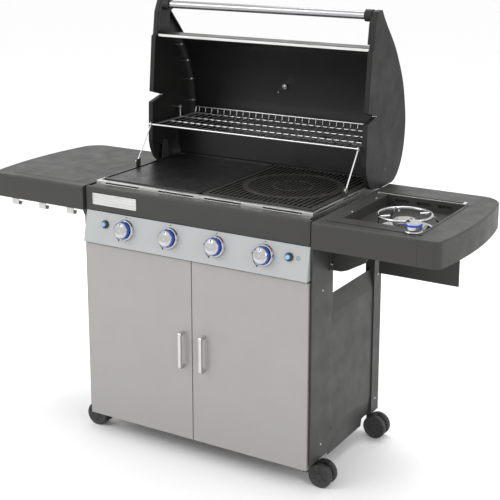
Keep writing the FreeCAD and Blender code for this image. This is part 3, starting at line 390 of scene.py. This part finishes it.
def knob_details(inks):
    """Blue ring and pointer on each knob, printed scale round each bezel."""
    for index in range(1, 5):
        joint = joints["knob_%d_turn" % index]
        centre = Vector(joint["pos_m"])
        axis = Vector(joint["axis"])
        ring = bmesh.new()
        lathe(ring, [(25.2, 13), (26.5, 13.4), (26.9, 18.5), (26.5, 23.6), (25.2, 24)], centre, axis, 64)
        finish_piece("knob_ring_%d" % index, ring, inks["blue"], "knob_%d" % index)
        pointer = bmesh.new()
        arc_band(pointer, centre, axis, 17.5, 9.0, -3.2, 3.2, 1.0, KNOB_FRONT)
        finish_piece("knob_pointer_%d" % index, pointer, inks["dark"], "knob_%d" % index)
        scale = bmesh.new()
        arc_band(scale, centre, axis, SCALE_R, 2.0, -88, -150, 0.25)
        for angle, width in ((-88, 6.0), (-150, 7.0), (0, 3.5)):
            arc_band(scale, centre, axis, SCALE_R, width, angle - 2.5, angle + 2.5, 0.3)
        finish_piece("knob_scale_%d" % index, scale, inks["dark"], "cart")


def side_knob_details(inks):
    """Blue ring and pointer on the knob of the side burner."""
    joint = joints["side_knob_turn"]
    centre = Vector(joint["pos_m"])
    ring = bmesh.new()
    lathe(ring, [(23.7, 17), (24.6, 17.4), (24.9, 20), (24.6, 23.4), (23.7, 24)], centre, Z, 64)
    finish_piece("side_knob_ring", ring, inks["blue"], "side_knob")
    pointer = bmesh.new()
    arc_band(pointer, centre, Z, 15, 9.0, -3.5, 3.5, 1.0, 30.6)
    finish_piece("side_knob_pointer", pointer, inks["dark"], "side_knob")


def panel_symbols(inks):
    """A plain round symbol beside the right igniter: a ring with four short rays."""
    centre = Vector(joints["knob_4_turn"]["pos_m"])
    axis = Vector(joints["knob_4_turn"]["axis"])
    side, up = across(axis)
    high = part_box("igniter_bases")[1]
    middle = centre + side * (high.x + 0.016 - centre.x) + up * 0.008
    symbol = bmesh.new()
    arc_band(symbol, middle, axis, 6.0, 0.9, 0, 354, 0.25)
    for k in range(4):
        arc_band(symbol, middle, axis, 3.0, 2.6, 90 * k - 12, 90 * k + 12, 0.25)
    finish_piece("igniter_symbol", symbol, inks["dark"], "cart")


def badge_details():
    """A plain raised border on the blank badge."""
    low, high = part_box("badge_plate")
    size = (high - low) / MM
    middle = Vector(((low.x + high.x) / 2, low.y, (low.z + high.z) / 2))
    border = bmesh.new()
    for sign in (-1, 1):
        block(border, middle + Z * sign * (size.z / 2 - 2) * MM, (size.x - 7, 0.8, 1.2))
        block(border, middle + X * sign * (size.x / 2 - 4) * MM, (1.2, 0.8, size.z - 5))
    finish_piece("badge_border", border, materials["badge"], "cart")


# ---------------------------------------------------------------- fasteners

def fasteners():
    """Screws and bolts that show on the shelves, the legs, the lid and the panel ends."""
    tray_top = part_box("burner_tray")[1].z / MM
    bolts = bmesh.new()
    for x, y in ((456, 336), (462, 156)):
        pan_screw(bolts, at(x, y, tray_top), Z, 4.0)
    for sign in (-1, 1):
        for y in (125, 435):
            for z in (688, 732):
                hex_bolt(bolts, at(sign * 415, y, z), X * sign)
        for y, zs in ((74, (130, 620)), (461, (130, 560))):
            for z in zs:
                pan_screw(bolts, at(sign * 412, y, z), X * sign, 3.8)
        for y in (20, 30):
            pan_screw(bolts, at(sign * 404, y, 700 + (y - 20) * 4), X * sign, 2.6)
    finish_piece("cart_screws", bolts, materials["chrome"], "cart")
    lid_bolts = bmesh.new()
    hinge = joints["lid_hinge"]["pos_m"]
    for sign in (-1, 1):
        middle = Vector((sign * 0.409, hinge[1], hinge[2]))
        lathe(lid_bolts, [(9, -3.9), (9, -1.4), (6, -0.6)], middle, X * sign, 32)
    finish_piece("lid_hinge_caps", lid_bolts, materials["chrome"], "lid")


# ---------------------------------------------------------------- warming rack

def warming_rack():
    """Round plated wires over a heavier frame, in place of the CAD rack's square bars."""
    low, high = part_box("warming_rack")
    pivot = Vector(joints["rack_pivot"]["pos_m"])
    front = Vector(joints["rack_link_pivot"]["pos_m"]) + Vector(joints["rack_pivot"]["pos_m"])
    front -= Vector(joints["lid_hinge"]["pos_m"])
    bar_y = front.y
    bar_z = front.z
    rear = high.y - 0.0086
    half = RACK_HALF
    rack = bmesh.new()
    wire(rack, [Vector((low.x, bar_y, bar_z)), Vector((high.x, bar_y, bar_z))], 3.0, 14)
    for share in (0.332, 0.664, 1.0):
        y = bar_y + (rear - bar_y) * share
        wire(rack, [Vector((-half, y, bar_z)), Vector((half, y, bar_z))], FRAME_WIRE_R, 12)
    fence = Vector((0, rear + 0.006, bar_z + 0.022))
    wire(rack, [fence - X * half, fence + X * half], FRAME_WIRE_R, 12)
    for x in (-half, half):
        side = [Vector((x, bar_y, bar_z)), Vector((x, rear - 0.004, bar_z)),
                Vector((x, rear + 0.002, bar_z + 0.004)), fence + X * x]
        wire(rack, side, FRAME_WIRE_R, 12)
        wire(rack, [Vector((x, pivot.y, bar_z)), pivot + X * x - Z * 0.006], FRAME_WIRE_R, 12)
        rings = []
        for k in range(28):
            angle = 2 * math.pi * k / 28
            out = Vector((0, math.cos(angle), math.sin(angle)))
            corners = ((3.1, -2.6), (7.4, -2.6), (7.4, 2.6), (3.1, 2.6))
            rings.append([pivot + X * x + out * r * MM + X * w * MM for r, w in corners])
        skin(rack, rings, closed=True)
    for index in range(RACK_WIRES):
        x = -half + RACK_PITCH * (index + 0.6)
        top = bar_z + 0.0023
        bends = ((bar_y - 0.001, top), (rear - 0.004, top), (rear + 0.0005, top + 0.003),
                 (rear + 0.0025, top + 0.008), (rear + 0.0045, bar_z + 0.021))
        wire(rack, [Vector((x, y, z)) for y, z in bends], FINE_WIRE_R, 8)
    piece = finish_piece("rack_wires", rack, materials["rack_chrome"], "rack")
    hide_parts("warming_rack")


# ---------------------------------------------------------------- side burner

def side_burner_details(inks):
    """Flame ports round the burner head, and the spark electrode beside it."""
    centre = at(*RING_CENTRE, 0)
    centre.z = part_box("side_burner")[1].z - 0.013
    ports = bmesh.new()
    for k in range(30):
        arc_band(ports, centre, Z, 34.2, 1.4, 12 * k, 12 * k + 6, 4.2, -1.5)
    finish_piece("side_burner_ports", ports, materials["cast_iron"], "cart")
    electrode = bmesh.new()
    foot = at(574, 168, 0)
    foot.z = centre.z - 0.03
    lathe(electrode, [(3.6, 0), (3.6, 10), (2.6, 11), (2.6, 24), (2.0, 26)], foot, Z, 20)
    finish_piece("spark_insulator", electrode, inks["ceramic"], "cart")
    tip = bmesh.new()
    start = foot + Z * 0.025
    wire(tip, [start, start + Z * 0.006, start + Z * 0.009 + X * 0.003, start + Z * 0.010 + X * 0.007], 0.9)
    finish_piece("spark_tip", tip, materials["chrome"], "cart")


# ---------------------------------------------------------------- thermometer

def thermometer_face(inks):
    """Dial with a bezel, ticks and a pointer, on the back of the open lid."""
    axis = Vector((0, 0.95, 0.31)).normalized()
    centre = at(*DIAL_CENTRE) + axis * 0.013
    bezel = bmesh.new()
    lathe(bezel, [(26, -9), (26.2, 0), (25, 1.8), (23.2, 1.9), (22.6, 0.4), (22.4, -0.5)], centre, axis, 64)
    finish_piece("thermometer_bezel", bezel, materials["thermometer"], "lid")
    face = bmesh.new()
    lathe(face, [(22.6, -0.3), (22.6, 0.25), (22.2, 0.35)], centre, axis, 64)
    finish_piece("thermometer_face", face, inks["ceramic"], "lid")
    marks = bmesh.new()
    for k in range(13):
        angle = -135 + 22.5 * k
        length = 4.0 if k % 3 == 0 else 2.4
        arc_band(marks, centre, axis, 19.0, length, angle - 1.2, angle + 1.2, 0.25, 0.3)
    arc_band(marks, centre, axis, 7.0, 13.0, -122, -118, 0.5, 0.6)
    lathe(marks, [(2.2, 0.3), (2.2, 1.3), (1.4, 1.6)], centre, axis, 24)
    finish_piece("thermometer_marks", marks, inks["dark"], "lid")


# ---------------------------------------------------------------- lid

def lid_details(inks):
    """Bright strip on the lid's lip, a pin in each end's notch, and a dark plug low on each end."""
    skin_low, skin_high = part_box("lid_skin")
    cap_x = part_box("lid_caps")[1].x / MM
    strip = bmesh.new()
    block(strip, at(*LIP_CENTRE), ((skin_high.x - skin_low.x) / MM - 4, 0.8, 8))
    finish_piece("lid_lip_strip", strip, materials["trim_steel"], "lid")
    pins = bmesh.new()
    plugs = bmesh.new()
    for sign in (-1, 1):
        lathe(pins, [(3.2, -14), (3.2, -1), (2.4, -0.4)], at(sign * cap_x, *LID_PIN), X * sign, 24)
        lathe(plugs, [(4.6, -1), (4.6, 0.2), (3.6, 0.5)], at(sign * cap_x, *LID_PLUG), X * sign, 24)
    finish_piece("lid_end_pins", pins, materials["chrome"], "lid")
    finish_piece("lid_end_plugs", plugs, inks["dark"], "lid")


# ---------------------------------------------------------------- casters

def caster_details():
    """Hub ribs and tread bands on both wheels of each caster."""
    for corner in ("front_left", "front_right", "rear_left", "rear_right"):
        low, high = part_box("caster_wheels_" + corner)
        centre = (low + high) / 2
        half = (high.y - low.y) / 2 / MM
        radius = (high.x - low.x) / 2 / MM
        wheels = "wheels_" + corner
        hub = bmesh.new()
        for sign in (-1, 1):
            face = centre + Y * sign * (half - 2.2) * MM
            for k in range(6):
                arc_band(hub, face, Y * sign, 17.5, 15.0, 60 * k - 4, 60 * k + 4, 1.5)
            lathe(hub, [(8.6, 0), (8.6, 2.1), (6.0, 2.2), (5.4, 1.4)], face, Y * sign, 36)
        finish_piece("caster_hubs_" + corner, hub, materials["black_plastic"], wheels)
        tread = bmesh.new()
        for sign in (-1, 1):
            middle = centre + Y * sign * (half - 9) * MM
            for shift in (-3.2, 3.2):
                lathe(tread, [(radius - 3, shift - 1), (radius - 0.02, shift - 1), (radius - 0.02, shift + 1),
                              (radius - 3, shift + 1)], middle, Y, 72)
        finish_piece("caster_tread_" + corner, tread, materials["wheel_rubber"], wheels)


# ---------------------------------------------------------------- stage, light, camera

def make_stage():
    """A wide pale floor that also fills the background."""
    floor = bmesh.new()
    signs = ((-1, -1), (1, -1), (1, 1), (-1, 1))
    floor.faces.new([floor.verts.new((x * FLOOR_REACH, y * FLOOR_REACH, 0.0)) for x, y in signs])
    mesh = bpy.data.meshes.new("floor")
    floor.to_mesh(mesh)
    floor.free()
    look = Look("floor", (0.93, 0.93, 0.93), 0.0, 0.7)
    look.feed(Roughness=look.spread(look.noise(6.0, 3.0), 0.62, 0.78))
    mesh.materials.append(look.material)
    piece = bpy.data.objects.new("floor", mesh)
    bpy.context.scene.collection.objects.link(piece)


def area_light(name, place, target, size, power):
    """A soft rectangular lamp that faces a point."""
    light = bpy.data.lights.new(name, "AREA")
    light.shape = "RECTANGLE"
    light.size = size[0]
    light.size_y = size[1]
    light.energy = power
    lamp = bpy.data.objects.new(name, light)
    lamp.location = place
    lamp.rotation_euler = (Vector(target) - Vector(place)).to_track_quat("-Z", "Y").to_euler()
    bpy.context.scene.collection.objects.link(lamp)


def make_lights():
    """White surroundings with three soft lamps."""
    world = bpy.data.worlds.new("studio")
    world.use_nodes = True
    world.node_tree.nodes["Background"].inputs["Color"].default_value = (1.0, 1.0, 1.0, 1.0)
    world.node_tree.nodes["Background"].inputs["Strength"].default_value = 1.05
    bpy.context.scene.world = world
    area_light("key", (-2.6, -3.4, 3.4), (0, 0, 0.6), (2.6, 2.0), 85)
    area_light("fill", (3.6, -1.6, 2.2), (0, 0, 0.6), (2.0, 2.0), 30)
    area_light("top", (0.0, 1.6, 4.2), (0, 0, 0.7), (3.2, 1.6), 70)


def make_camera():
    """A long lens to the right of the front, at a standing person's eye height, looking slightly down."""
    data = bpy.data.cameras.new("camera")
    data.sensor_width = 36.0
    data.lens = CAMERA_LENS
    data.shift_y = CAMERA_SHIFT
    camera = bpy.data.objects.new("camera", data)
    camera.location = CAMERA_PLACE
    camera.rotation_euler = (math.radians(CAMERA_TILT), 0.0, math.radians(CAMERA_TURN))
    bpy.context.scene.collection.objects.link(camera)
    bpy.context.scene.camera = camera


make_materials()
inks = {"dark": print_ink("ink_dark", (0.02, 0.02, 0.022), 0.4),
        "blue": print_ink("ring_blue", (0.006, 0.06, 0.5), 0.5),
        "ceramic": print_ink("ceramic_white", (0.78, 0.77, 0.74), 0.3)}
dress_cad_nodes()
knob_details(inks)
side_knob_details(inks)
panel_symbols(inks)
badge_details()
fasteners()
warming_rack()
side_burner_details(inks)
thermometer_face(inks)
lid_details(inks)
caster_details()
make_stage()
make_lights()
make_camera()
bpy.context.scene.view_settings.view_transform = "Standard"
